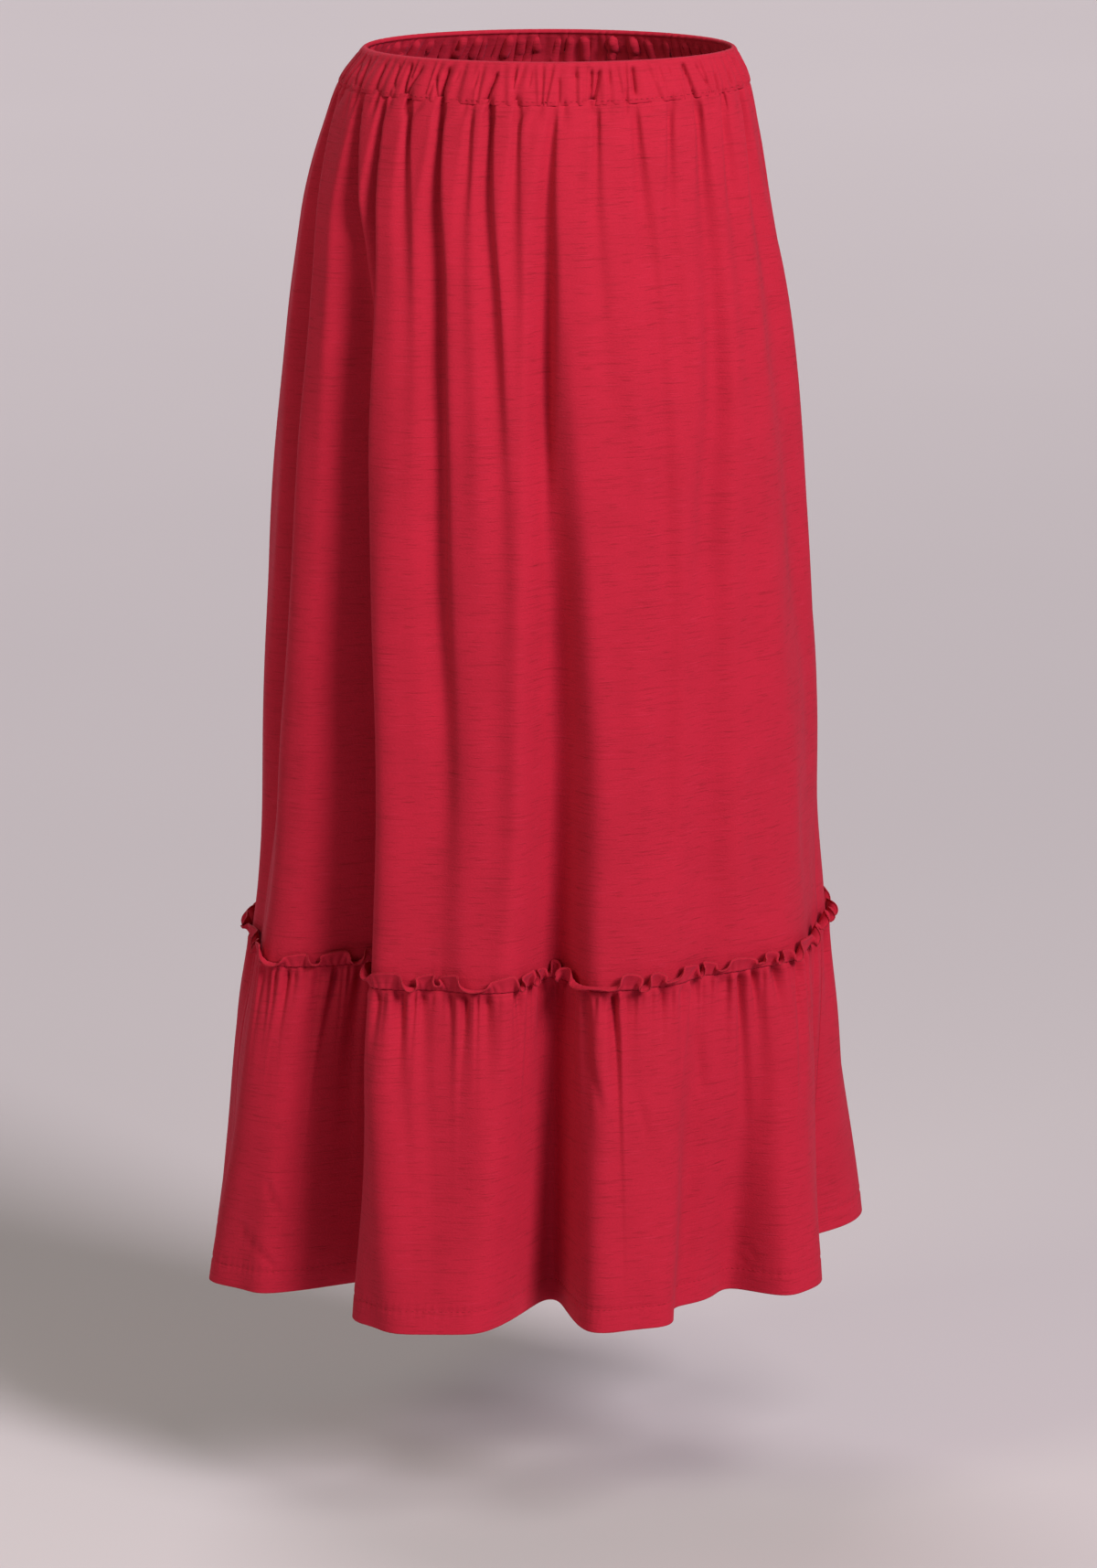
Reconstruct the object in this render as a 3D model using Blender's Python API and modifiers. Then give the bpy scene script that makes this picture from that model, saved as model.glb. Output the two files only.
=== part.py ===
"""A pull-on midi skirt of gathered jersey: casing, two long panels, two gathered tiers and a seam frill.

Metres, +Z up. The origin is the centre of the waist opening's top edge, and the front faces -Y.
A bearing is an angle round the skirt in degrees: 0 at the front, 90 at the wearer-side +X, 180 at the back.
A drop is the distance below the waist's top edge, measured down the middle of the skirt.
"""
from collections import namedtuple
from math import pi

import bmesh
import bpy
import numpy as np

# Driving sizes
CASING_DROP = 0.030
SEAM_DROP = 0.634
HEM_DROP = 0.867
HEM_TURN = 0.016
CLOTH = 0.0014
HEM_CLOTH = 0.0024
CASING_CLOTH = 0.0030
FRILL_CLOTH = 0.0010
FRILL_RISE = 0.011
FRILL_FLARE = 0.0070
SEAM_GAP = 0.0003
CASING_GAP = 0.0005
RISE_TO_BACK = 0.045
RISE_TO_RIGHT = 0.018

# Numbers of gathers and of mesh columns
CASING_GATHERS = 56
TIER_GATHERS = 56
FRILL_WAVES = 60
COLUMNS_PER_GATHER = 3
COLUMNS_PER_WAVE = 3
PANEL_COLUMNS = FRILL_WAVES * COLUMNS_PER_WAVE

# The smooth form that the folds are set into, level by level
Level = namedtuple("Level", "drop centre_x half_width front back")
FORM = [Level(*row) for row in (
    (0.000, 0.0005, 0.1295, 0.097, 0.097),
    (0.030, -0.0030, 0.1440, 0.108, 0.110),
    (0.060, -0.0055, 0.1525, 0.116, 0.121),
    (0.100, -0.0080, 0.1620, 0.125, 0.134),
    (0.160, -0.0070, 0.1730, 0.136, 0.146),
    (0.230, -0.0060, 0.1820, 0.145, 0.154),
    (0.330, -0.0065, 0.1895, 0.153, 0.158),
    (0.450, -0.0050, 0.1970, 0.157, 0.160),
    (0.570, -0.0050, 0.2015, 0.161, 0.163),
    (0.634, -0.0050, 0.2080, 0.165, 0.167),
    (0.695, -0.0060, 0.2170, 0.174, 0.174),
    (0.775, -0.0060, 0.2245, 0.186, 0.183),
    (0.867, -0.0070, 0.2350, 0.200, 0.195),
)]

# The main folds. Each row is one trough: its bearing and its depth in millimetres at the casing, hip,
# thigh, seam and hem, its half-width in millimetres at the casing and at the hem, and how far its
# bottom leans round the skirt, as a share of its depth. A negative depth is a ridge.
FOLD_DROPS = (0.030, 0.120, 0.350, 0.634, 0.867)
Fold = namedtuple("Fold", "bearings depths half_widths lean")
FOLDS = [Fold(*row) for row in (
    ((-80, -74, -66, -70, -78), (4, 9, 14, 6, 4), (15, 22), 0.0),
    ((-68, -66, -56, -62, -70), (0, 0, -2, -5, -13), (16, 40), 0.0),
    ((-61, -49, -43, -42, -38), (5, 12, 25, 36, 64), (13, 36), 0.25),
    ((-49, -43, -40, -40, -36), (5, 7, 0, 0, 0), (10, 16), 0.0),
    ((-39, -32, -30, -30, -30), (4, 3, 0, 0, 0), (10, 16), 0.0),
    ((-29, -24, -19, -19, -20), (6, 7, 6, 3, 1), (12, 22), 0.0),
    ((-19, -16, -15, -15, -15), (4, 3, 0, 0, 0), (10, 16), 0.0),
    ((-14, -12, -9, -12, -12), (5, 6, 7, 2, 0), (11, 20), 0.0),
    ((-6, -4, -3, -3, -3), (3, 3, 0, 0, 0), (9, 16), 0.0),
    ((-1, 3, 4.2, 0.3, -1.2), (1, 9, 33, 72, 106), (12, 34), 0.21),
    ((14, 15.5, 15, 14, 14), (4, 4, 1, 0, 0), (11, 18), 0.0),
    ((24, 24, 24, 22, 20), (4, 4, 4, 1, 0), (12, 20), 0.0),
    ((37, 34, 32, 30, 26), (4, 3, 0, 0, 0), (10, 16), 0.0),
    ((46, 44, 36, 34, 29), (5, 5, 7, 16, 62), (12, 40), -0.08),
    ((58, 57, 49, 46, 43), (4, 5, 6, 9, 12), (12, 38), 0.0),
    ((72, 72, 72, 71, 69), (4, 4, 3, 4, 24), (12, 58), 0.0),
    ((86, 88, 88, 88, 89), (3, 2, 2, 14, 38), (12, 44), 0.0),
    ((104, 106, 108, 110, 114), (3, 4, 0, -6, -18), (12, 50), 0.0),
    ((118, 121, 126, 130, 134), (5, 8, 13, 20, 34), (12, 34), 0.12),
    ((132, 136, 140, 142, 146), (4, 3, 0, 0, 0), (10, 18), 0.0),
    ((147, 150, 154, 155, 156), (5, 7, 9, 6, 4), (12, 26), 0.0),
    ((161, 163, 165, 166, 167), (4, 3, 0, 0, 0), (10, 18), 0.0),
    ((174, 176, 178, 179, 177), (5, 8, 20, 38, 58), (12, 36), -0.15),
    ((-172, -170, -166, -165, -164), (4, 3, 0, 0, 0), (10, 18), 0.0),
    ((-158, -154, -150, -149, -147), (6, 8, 9, 7, 8), (12, 28), 0.0),
    ((-143, -140, -138, -136, -134), (4, 3, 0, 0, 0), (10, 18), 0.0),
    ((-128, -124, -118, -116, -113), (5, 8, 14, 24, 40), (12, 36), 0.15),
    ((-110, -106, -103, -101, -99), (4, 5, 5, 3, 0), (12, 22), 0.0),
)]
# Below the casing the folds deepen from nothing to their full depth over this drop
FOLD_EASE = 0.030
# The small waves shrink by this share at the bottom of a trough that is deeper than it is wide
TROUGH_SQUEEZE = 0.8

# The folds that run from casing to hem, by their place in the table. The cloth between two of them
# is one span, and its columns and gathers are spread evenly along it.
FRONT_SPAN_FOLDS = (2, 9, 13)
BACK_SPAN_FOLDS = (18, 22, 26)
LEFT_SEAM = -90.0
RIGHT_SEAM = 90.0
HALVES = (
    (FRONT_SPAN_FOLDS, LEFT_SEAM, RIGHT_SEAM),
    (BACK_SPAN_FOLDS, RIGHT_SEAM, LEFT_SEAM + 360.0),
)
SAMPLES_PER_SPAN = 240

# Drops of the rows of each piece
CASING_ROWS = (0.0, 0.005, 0.025, CASING_DROP)
PANEL_ROWS = (0.055, 0.100, 0.170, 0.280, 0.400, 0.520)
TIER_ROWS = (0.650, 0.690, 0.760)

# Gathers: how deep their valleys are, row by row in the casing, and at the tier's top and below it
CASING_PINCH = (0.0008, 0.0022, 0.0022, 0.0015)
CASING_PINCH_UNEVENNESS = 0.5
TIER_PINCH = 0.0055
TIER_PINCH_AT_SEAM = 0.0025
TIER_PINCH_UNEVENNESS = 0.6
TIER_PUFF = 0.0014
TIER_FADE = 0.048
SPACING_UNEVENNESS = 0.24

# The frill's free edge: how its height and its flare swing from wave to wave, as shares of the mean
RISE_SWING = 0.11
FLARE_MEAN = 0.75
FLARE_SWING = 0.60
WAVE_UNEVENNESS = 0.35
JERSEY_RED = (0.50, 0.018, 0.045, 1.0)


def smooth_through(x, knots, values):
    """Cubic curve through the knots, with the slopes of a Catmull-Rom spline."""
    knots = np.asarray(knots, float)
    values = np.asarray(values, float)
    slopes = np.gradient(values, knots)
    i = int(np.clip(np.searchsorted(knots, x) - 1, 0, len(knots) - 2))
    width = knots[i + 1] - knots[i]
    t = float(np.clip((x - knots[i]) / width, 0.0, 1.0))
    start = (2 * t ** 3 - 3 * t ** 2 + 1) * values[i] + (t ** 3 - 2 * t ** 2 + t) * width * slopes[i]
    end = (3 * t ** 2 - 2 * t ** 3) * values[i + 1] + (t ** 3 - t ** 2) * width * slopes[i + 1]
    return start + end


def uneven(index, salt):
    """A repeatable number between -1 and 1 for each gather."""
    value = np.sin(12.9898 * (index + 1) + 78.233 * (salt + 1)) * 43758.5453
    return 2.0 * (value - np.floor(value)) - 1.0


def form_at(drop):
    """Centre, half-width, front depth and back depth of the smooth form at a drop."""
    drops, *columns = zip(*FORM)
    return [smooth_through(drop, drops, column) for column in columns]


def fold_at(fold, drop):
    """Bearing, depth and half-width of one fold at a drop, in degrees and metres."""
    ease = np.clip((drop - CASING_DROP) / FOLD_EASE, 0.0, 1.0)
    share = ease * ease * (3 - 2 * ease)
    depth = smooth_through(drop, FOLD_DROPS, fold.depths) * share
    half_width = np.interp(drop, (FOLD_DROPS[0], FOLD_DROPS[-1]), fold.half_widths)
    return smooth_through(drop, FOLD_DROPS, fold.bearings), depth / 1000, half_width / 1000


def trough(distance, half_width):
    """A soft trough, 1 at its bottom and 0 from its half-width outwards."""
    t = np.clip(distance / half_width, -1.0, 1.0)
    return 0.5 + 0.5 * np.cos(pi * t)


def outline(bearings, drop, folded=True):
    """Plan points of the skirt's outer face at a drop, and how freely small waves can stand there."""
    centre_x, half_width, front, back = form_at(drop)
    angle = np.radians(np.asarray(bearings, float))
    depth = np.where(np.cos(angle) > 0, front, back)
    x = centre_x + half_width * np.sin(angle)
    y = -depth * np.cos(angle)
    along = np.stack([half_width * np.cos(angle), depth * np.sin(angle)], axis=1)
    speed = np.linalg.norm(along, axis=1)
    along /= speed[:, None]
    out = np.stack([along[:, 1], -along[:, 0]], axis=1)
    points = np.stack([x, y], axis=1)
    room = np.ones(len(angle))
    if folded:
        for fold in FOLDS:
            bearing, fold_depth, fold_half_width = fold_at(fold, drop)
            turn = (np.degrees(angle) - bearing + 180.0) % 360.0 - 180.0
            share = trough(np.radians(turn) * speed, fold_half_width)
            points = points - out * (fold_depth * share)[:, None]
            points = points + along * (fold.lean * fold_depth * share)[:, None]
            if fold_depth > fold_half_width:
                room = np.minimum(room, 1 - TROUGH_SQUEEZE * share)
    return points, room


def lift(points, drop):
    """Plan points at a drop as points in space. The lower edges rise a little to the back and right."""
    share = drop / HEM_DROP
    z = -drop + share * (RISE_TO_BACK * points[:, 1] + RISE_TO_RIGHT * points[:, 0])
    return np.column_stack([points, z])


def span_ends(span_folds, first, last, drop):
    """Bearings of the ends of each span at a drop, from one side seam to the other."""
    inner = [fold_at(FOLDS[k], drop)[0] for k in span_folds]
    inner = [bearing + 360.0 if bearing < first else bearing for bearing in inner]
    return [first, *inner, last]


def spread(ends, counts, drop, places, folded=True):
    """Bearings of columns set evenly along the cloth of each span, at the given places in it."""
    bearings = []
    for start, end, count in zip(ends, ends[1:], counts):
        dense = np.linspace(start, end, SAMPLES_PER_SPAN)
        points, _ = outline(dense, drop, folded)
        steps = np.linalg.norm(np.diff(points, axis=0), axis=1)
        run = np.concatenate([[0.0], np.cumsum(steps)])
        bearings.extend(np.interp(np.asarray(places(count)) * run[-1], run, dense))
    return np.asarray(bearings)


def outward(points):
    """Plan normals of a row of points, pointing out of the skirt."""
    along = np.gradient(points, axis=0)
    along /= np.linalg.norm(along, axis=1)[:, None]
    return np.stack([along[:, 1], -along[:, 0]], axis=1)


def ring_outward(ring):
    """Plan normals of a closed ring of points."""
    return outward(np.vstack([ring[-1:], ring, ring[:1]])[:, :2])[1:-1]


def wave_room(ring):
    """How freely cloth can wave at each point of a ring, from 1 down to 0.25 where the ring turns sharply."""
    out = ring_outward(ring)
    turn = np.linalg.norm(np.roll(out, -1, axis=0) - np.roll(out, 1, axis=0), axis=1)
    return np.clip(1.2 - turn, 0.25, 1.0)


def span_counts(span_folds, first, last, total, multiple=1):
    """Share a number of columns out among the spans of one half, by their length at the seam."""
    ends = span_ends(span_folds, first, last, SEAM_DROP)
    lengths = []
    for start, end in zip(ends, ends[1:]):
        points, _ = outline(np.linspace(start, end, SAMPLES_PER_SPAN), SEAM_DROP)
        lengths.append(np.linalg.norm(np.diff(points, axis=0), axis=1).sum())
    shares = np.asarray(lengths) / sum(lengths) * total / multiple
    return [int(round(share)) * multiple for share in shares]


def even_places(count):
    return [k / count for k in range(count)]


def gather_places(count):
    """Valley, ridge and ridge of each gather along a span, with uneven spacing."""
    gathers = count // COLUMNS_PER_GATHER
    valleys = [0.0]
    valleys += [k + SPACING_UNEVENNESS * uneven(k, count) for k in range(1, gathers)]
    valleys.append(gathers)
    places = []
    for k in range(gathers):
        width = valleys[k + 1] - valleys[k]
        for j in range(COLUMNS_PER_GATHER):
            places.append((valleys[k] + width * j / COLUMNS_PER_GATHER) / gathers)
    return places


def make_material():
    material = bpy.data.materials.new("red_jersey")
    material.use_nodes = True
    shader = material.node_tree.nodes["Principled BSDF"]
    shader.inputs["Base Color"].default_value = JERSEY_RED
    shader.inputs["Roughness"].default_value = 0.9
    shader.inputs["Metallic"].default_value = 0.0
    return material


def cloth_piece(name, rows, thickness, material, closed=False, side=-1.0, hem_rows=0, body_thickness=None):
    """A wall of cloth through rows of points, from the top row down, given its thickness by Solidify.
    Its lowest hem_rows have the full thickness where body_thickness is that of the cloth above them."""
    rows = [[tuple(point) for point in row] for row in rows]
    if closed:
        rows = [row + row[:1] for row in rows]
    columns = len(rows[0])
    cloth = bmesh.new()
    weights = cloth.verts.layers.deform.verify()
    grid = bmesh.ops.create_grid(cloth, x_segments=columns - 1, y_segments=len(rows) - 1, size=1.0)["verts"]
    grid.sort(key=lambda vertex: (round(-vertex.co.y, 6), round(vertex.co.x, 6)))
    for k, vertex in enumerate(grid):
        vertex.co = rows[k // columns][k % columns]
        vertex[weights][0] = 1.0 if k // columns >= len(rows) - hem_rows else 0.0
    bmesh.ops.remove_doubles(cloth, verts=cloth.verts, dist=0.00001)
    cloth.normal_update()
    facing_out = sum(face.calc_center_median().to_2d().dot(face.normal.to_2d()) for face in cloth.faces)
    if facing_out < 0:
        bmesh.ops.reverse_faces(cloth, faces=cloth.faces)
    mesh = bpy.data.meshes.new(name)
    cloth.to_mesh(mesh)
    cloth.free()
    mesh.materials.append(material)
    mesh.shade_smooth()
    piece = bpy.data.objects.new(name, mesh)
    wall = piece.modifiers.new("wall", "SOLIDIFY")
    wall.thickness = thickness
    wall.offset = side
    wall.use_even_offset = False
    if body_thickness:
        piece.vertex_groups.new(name="hem")
        wall.vertex_group = "hem"
        wall.thickness_vertex_group = body_thickness / thickness
    return piece


def make_waistband(material):
    """The casing over the elastic: a ring of small gathers, pinched at its stitch line."""
    count = CASING_GATHERS * COLUMNS_PER_GATHER
    rows = []
    for drop, pinch in zip(CASING_ROWS, CASING_PINCH):
        bearings = spread((LEFT_SEAM, LEFT_SEAM + 360.0), [count], drop, gather_places, folded=False)
        points, _ = outline(bearings, drop, folded=False)
        out = points - np.array([form_at(drop)[0], 0.0])
        out /= np.linalg.norm(out, axis=1)[:, None]
        inset = np.zeros(count)
        for k in range(CASING_GATHERS):
            inset[k * COLUMNS_PER_GATHER] = pinch * (1 + CASING_PINCH_UNEVENNESS * uneven(k, 3))
        rows.append(lift(points - out * inset[:, None], drop))
    return cloth_piece("waistband", rows, CASING_CLOTH, material, closed=True)


def half_bearings(span_folds, first, last, drop, counts, places):
    """Columns of one half, from side seam to side seam, stopping half a seam gap short at each."""
    edge = np.degrees(0.5 * SEAM_GAP / form_at(drop)[2])
    bearings = spread(span_ends(span_folds, first, last, drop), counts, drop, places)
    bearings[0] = first + edge
    return np.append(bearings, last - edge)


def panel_rows(span_folds, first, last):
    """Rows of one long panel, from just below the casing to just above the seam."""
    counts = span_counts(span_folds, first, last, PANEL_COLUMNS // 2)
    rows = []
    for drop in (CASING_DROP + CASING_GAP, *PANEL_ROWS, SEAM_DROP - SEAM_GAP):
        bearings = half_bearings(span_folds, first, last, drop, counts, even_places)
        rows.append(lift(outline(bearings, drop)[0], drop))
    return rows


def make_tier(name, span_folds, first, last, material):
    """One half of the gathered tier, with its turned hem as a thicker lower edge."""
    total = TIER_GATHERS // 2 * COLUMNS_PER_GATHER
    counts = span_counts(span_folds, first, last, total, COLUMNS_PER_GATHER)
    rows = []
    for drop in (SEAM_DROP, *TIER_ROWS, HEM_DROP - HEM_TURN, HEM_DROP):
        bearings = half_bearings(span_folds, first, last, drop, counts, gather_places)
        points, room = outline(bearings, drop)
        fade = np.exp(-(drop - SEAM_DROP) / TIER_FADE)
        pinch = TIER_PINCH_AT_SEAM if drop == SEAM_DROP else TIER_PINCH * fade
        inset = np.full(len(points), -TIER_PUFF * (1 - fade))
        for k in range(0, len(points), COLUMNS_PER_GATHER):
            inset[k] = pinch * (1 + TIER_PINCH_UNEVENNESS * uneven(k, 7))
        points = points - outward(points) * (inset * room)[:, None]
        rows.append(lift(points, drop))
    return cloth_piece(name, rows, HEM_CLOTH, material, hem_rows=2, body_thickness=CLOTH)


def make_frill(panels, material):
    """The wavy heading of the tier, standing up and out from the seam. It is made from the lowest
    points of the panels behind it, moved out."""
    lower = np.vstack([rows[-1][:-1] for rows in panels])
    upper = np.vstack([rows[-2][:-1] for rows in panels])
    count = len(lower)
    wave = np.array([np.cos(2 * pi * k / COLUMNS_PER_WAVE) for k in range(count)])
    size = np.array([1 + WAVE_UNEVENNESS * uneven(k // COLUMNS_PER_WAVE, 5) for k in range(count)])
    rise = FRILL_RISE * (1 - RISE_SWING + RISE_SWING * wave * size)
    climb = (rise / (upper[:, 2] - lower[:, 2]))[:, None]
    edge = lower + (upper - lower) * climb
    room = wave_room(lower)
    flare = FRILL_FLARE * size * (FLARE_MEAN + FLARE_SWING * wave)
    lower[:, :2] += ring_outward(lower) * SEAM_GAP
    edge[:, :2] += ring_outward(edge) * (SEAM_GAP + room * flare)[:, None]
    return cloth_piece("seam_frill", [edge, lower], FRILL_CLOTH, material, closed=True, side=1.0)


def main():
    for item in list(bpy.context.scene.objects):
        bpy.data.objects.remove(item, do_unlink=True)
    skirt = bpy.data.collections.new("midi_skirt")
    bpy.context.scene.collection.children.link(skirt)
    jersey = make_material()
    panels = [panel_rows(*half) for half in HALVES]
    pieces = [
        make_waistband(jersey),
        cloth_piece("front_panel", panels[0], CLOTH, jersey),
        cloth_piece("back_panel", panels[1], CLOTH, jersey),
        make_tier("tier_front", *HALVES[0], jersey),
        make_tier("tier_back", *HALVES[1], jersey),
        make_frill(panels, jersey),
    ]
    for piece in pieces:
        skirt.objects.link(piece)


main()
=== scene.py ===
# %% [markdown]
# A gathered midi skirt in slub jersey
#
# This notebook dresses the solid skirt that the frame holds. The real garment is a pull-on skirt: an
# elastic casing, two long panels, a gathered tier in two halves and a wavy heading along the seam between
# them. Every piece of cloth is remade here as a thin shell on the form of its solid, with finer gathers,
# creases and stitching.

from bisect import bisect
from collections import namedtuple
from functools import lru_cache
from math import cos, pi, radians, sin

import bmesh
import bpy
import numpy as np
from mathutils import Matrix, Vector


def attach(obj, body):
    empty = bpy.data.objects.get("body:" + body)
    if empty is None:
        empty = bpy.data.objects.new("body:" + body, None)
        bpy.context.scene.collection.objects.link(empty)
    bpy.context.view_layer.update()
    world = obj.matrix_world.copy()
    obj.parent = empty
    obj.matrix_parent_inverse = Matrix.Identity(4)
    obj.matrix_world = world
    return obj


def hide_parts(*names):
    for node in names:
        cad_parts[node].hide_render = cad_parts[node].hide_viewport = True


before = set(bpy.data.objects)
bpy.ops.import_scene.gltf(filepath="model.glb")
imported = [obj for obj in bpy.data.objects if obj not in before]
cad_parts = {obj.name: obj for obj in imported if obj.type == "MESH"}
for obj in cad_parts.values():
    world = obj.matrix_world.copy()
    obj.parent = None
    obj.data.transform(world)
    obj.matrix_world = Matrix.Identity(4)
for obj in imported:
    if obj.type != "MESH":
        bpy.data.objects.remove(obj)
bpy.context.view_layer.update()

# %% [markdown]
# Sizes
#
# Two measures give any place on a skirt. A drop is the distance below the waist's top edge, in metres. A
# bearing is the angle round the skirt in degrees: 0 at the front, 90 at the right as seen from the front.
# The drops of the seams are those of the frame's solids, so the cloth stays on them.

# %% Named sizes
MM = 0.001
FULL_TURN = 360.0
CASING_DROP = 0.030
SEAM_DROP = 0.634
HEM_DROP = 0.867
HEM_TURN = 0.016
SEAM_GAP = 0.0003
SIDE_GAP = 0.00002
TUCK = 0.0036
TUCK_IN = 0.0008
JERSEY = 0.0011
HEM_JERSEY = 0.0022
CASING_WALL = 0.0028
FRILL_HEIGHT = 0.0110
RISE_TO_BACK = 0.045
RISE_TO_RIGHT = 0.018
STITCH_LINE_RISE = 0.0012
SIDE_RISE = 0.0030
SIDE_RISE_FADE = 0.11
LEFT_SEAM = -90.0
RIGHT_SEAM = 90.0

# %% [markdown]
# The form
#
# Cloth that hangs from a gathered waist makes a cone with soft troughs in it. The cone is a table of
# levels, each an ellipse with its own half-width and depths. The troughs are a second table, one row for
# each fold: its bearing and depth in millimetres at the casing, hip, thigh, seam and hem, its half-width
# at the top and to either side at the hem, and how far its bottom leans round the skirt above the thigh
# and at the hem, as a share of its depth. A negative depth is a ridge. Two short tables are easier to
# correct against a photograph than thousands of sculpted points.

# %% Tables of the form and its folds
Level = namedtuple("Level", "drop centre_x half_width front back")
FORM = [Level(*row) for row in (
    (0.000, 0.0005, 0.1295, 0.097, 0.097),
    (0.030, -0.0030, 0.1440, 0.108, 0.110),
    (0.060, -0.0055, 0.1525, 0.116, 0.121),
    (0.100, -0.0080, 0.1620, 0.125, 0.134),
    (0.160, -0.0070, 0.1730, 0.136, 0.146),
    (0.230, -0.0060, 0.1820, 0.145, 0.154),
    (0.330, -0.0065, 0.1895, 0.153, 0.158),
    (0.450, -0.0050, 0.1970, 0.157, 0.160),
    (0.570, -0.0050, 0.2015, 0.161, 0.163),
    (0.634, -0.0050, 0.2080, 0.165, 0.167),
    (0.695, -0.0060, 0.2170, 0.174, 0.174),
    (0.775, -0.0060, 0.2245, 0.186, 0.183),
    (0.867, -0.0070, 0.2350, 0.200, 0.195),
)]
FOLD_DROPS = (0.030, 0.120, 0.350, 0.634, 0.867)
Fold = namedtuple("Fold", "bearings depths widths leans")
FOLDS = [Fold(*row) for row in (
    ((-80, -74, -69, -80, -80), (10, 26, 36, 5, 0), (14, 24, 20), (0.40, 0.0)),
    ((-68, -66, -61, -65, -71), (0, 0, -5, -11, -14), (16, 26, 36), (0.0, 0.0)),
    ((-61, -54, -48, -48.5, -50.3), (9, 20, 38, 53, 81), (13, 37, 74), (0.35, 0.10)),
    ((-50, -45.5, -43, -45, -47), (10, 16, 16, 7, 0), (10, 22, 12), (0.40, 0.0)),
    ((-38, -37, -34, -33, -25), (0, 0, -6, -9, -9), (16, 24, 44), (0.0, 0.0)),
    ((-40, -34, -30, -30, -30), (8, 3.5, 0, 0, 0), (9, 16, 12), (0.40, 0.0)),
    ((-29.5, -26.5, -22.5, -19.5, -19), (8, 12, 10, 3, 0), (12, 24, 16), (0.50, 0.0)),
    ((-20, -18, -15, -15, -15), (4, 3, 0, 0, 0), (9, 16, 14), (0.30, 0.0)),
    ((-15, -13, -8.5, -10, -10), (7, 8, 3.5, 1, 0), (11, 22, 16), (0.50, 0.0)),
    ((-7, -6, -4, -3, -3), (3, 4, 0, 0, 0), (9, 16, 14), (0.30, 0.0)),
    ((2.6, 1.4, 0.0, 0, 0), (3, 9, 5, 0, 0), (12, 22, 14), (0.40, 0.0)),
    ((1, 0.5, 3.8, 2.4, -0.2), (0, 4, 20, 44, 80), (14, 46, 41), (-0.10, 0.12)),
    ((14.5, 14.5, 14, 14, 14), (4, 2, 0, 0, 0), (8, 16, 14), (0.30, 0.0)),
    ((25.5, 27, 27.5, 24, 20), (4, 4, 4, 2, 0), (11, 20, 18), (0.30, 0.0)),
    ((37, 34, 32, 30, 26), (4, 3, 0, 0, 0), (10, 16, 16), (0.0, 0.0)),
    ((47.5, 45.5, 38, 35, 32), (4, 7, 8, 13, 38), (12, 40, 44), (0.20, -0.30)),
    ((46, 46, 46, 45, 44.0), (0, 0, 0, 6, 50), (12, 42, 26), (0.0, 0.0)),
    ((59, 57, 50, 49, 52), (5, 3, 2, 3, 3), (12, 26, 26), (0.0, 0.0)),
    ((72, 71, 74, 82, 84), (6, 7, 7, 14, 52), (12, 104, 70), (0.0, 0.0)),
    ((86, 88, 91, 93, 95), (3, 2, 2, 1, 0), (12, 38, 38), (0.0, 0.0)),
    ((104, 106, 112, 115, 112), (3, 4, 0, -11, -17), (12, 46, 46), (0.0, 0.0)),
    ((118, 121, 126, 131, 135), (7, 11, 14, 20, 34), (12, 34, 34), (0.40, 0.12)),
    ((132, 136, 140, 142, 146), (7, 5, 0, 0, 0), (9, 18, 18), (0.30, 0.0)),
    ((147, 150, 154, 155, 156), (9, 12, 12, 7, 4), (12, 26, 22), (0.50, 0.0)),
    ((161, 163, 165, 166, 167), (6, 4, 0, 0, 0), (9, 18, 18), (0.30, 0.0)),
    ((174, 176, 178, 179, 177), (6, 12, 22, 42, 64), (12, 40, 40), (0.20, -0.15)),
    ((-172, -170, -166, -165, -164), (6, 4, 0, 0, 0), (10, 18, 18), (-0.30, 0.0)),
    ((-158, -154, -150, -149, -147), (9, 13, 11, 7, 8), (12, 24, 28), (-0.50, 0.0)),
    ((-143, -140, -138, -136, -134), (6, 4, 0, 0, 0), (9, 18, 18), (-0.30, 0.0)),
    ((-128, -124, -118, -116, -113), (7, 12, 16, 24, 42), (12, 38, 34), (-0.30, 0.15)),
    ((-110, -106, -103, -101, -99), (6, 7, 5, 3, 0), (12, 22, 22), (0.0, 0.0)),
)]
FRONT_SPAN_FOLDS = (2, 11, 15)
BACK_SPAN_FOLDS = (21, 25, 29)
HALVES = {
    "front": (FRONT_SPAN_FOLDS, LEFT_SEAM, RIGHT_SEAM),
    "back": (BACK_SPAN_FOLDS, RIGHT_SEAM, LEFT_SEAM + FULL_TURN),
}
print(len(FORM), "levels and", len(FOLDS), "folds")

# %% [markdown]
# Where the cloth goes
#
# The next helpers turn the tables into rings of points, one for each level. A cubic curve runs through
# each column, so that no level shows as a kink. Each trough is a raised cosine measured in metres along
# the cloth, with its own width on either side. Cloth can't bend sharply, so the whole ring is then
# softened along its length, more at the hem than under the casing.

# %% Helpers for the form
PINCH_SHARE = 0.36
PINCH_EASE = 0.014
NARROW_AT_CASING = 0.38
OPEN_BY = 0.100
TROUGH_SQUEEZE = 0.8
RING_SAMPLES = 2880
LEAN_DROPS = (0.35, 0.867)
SOFTENING = ((0.030, 0.0003), (0.120, 0.0016), (0.350, 0.0034), (0.634, 0.0052), (0.867, 0.0072))
CASING_TO_HEM = (FOLD_DROPS[0], FOLD_DROPS[-1])
Ring = namedtuple("Ring", "bearings points room run")


@lru_cache(maxsize=None)
def slopes_at(knots, values):
    """Slope of a curve at each of its knots."""
    return np.gradient(np.asarray(values, float), np.asarray(knots, float))


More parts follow.
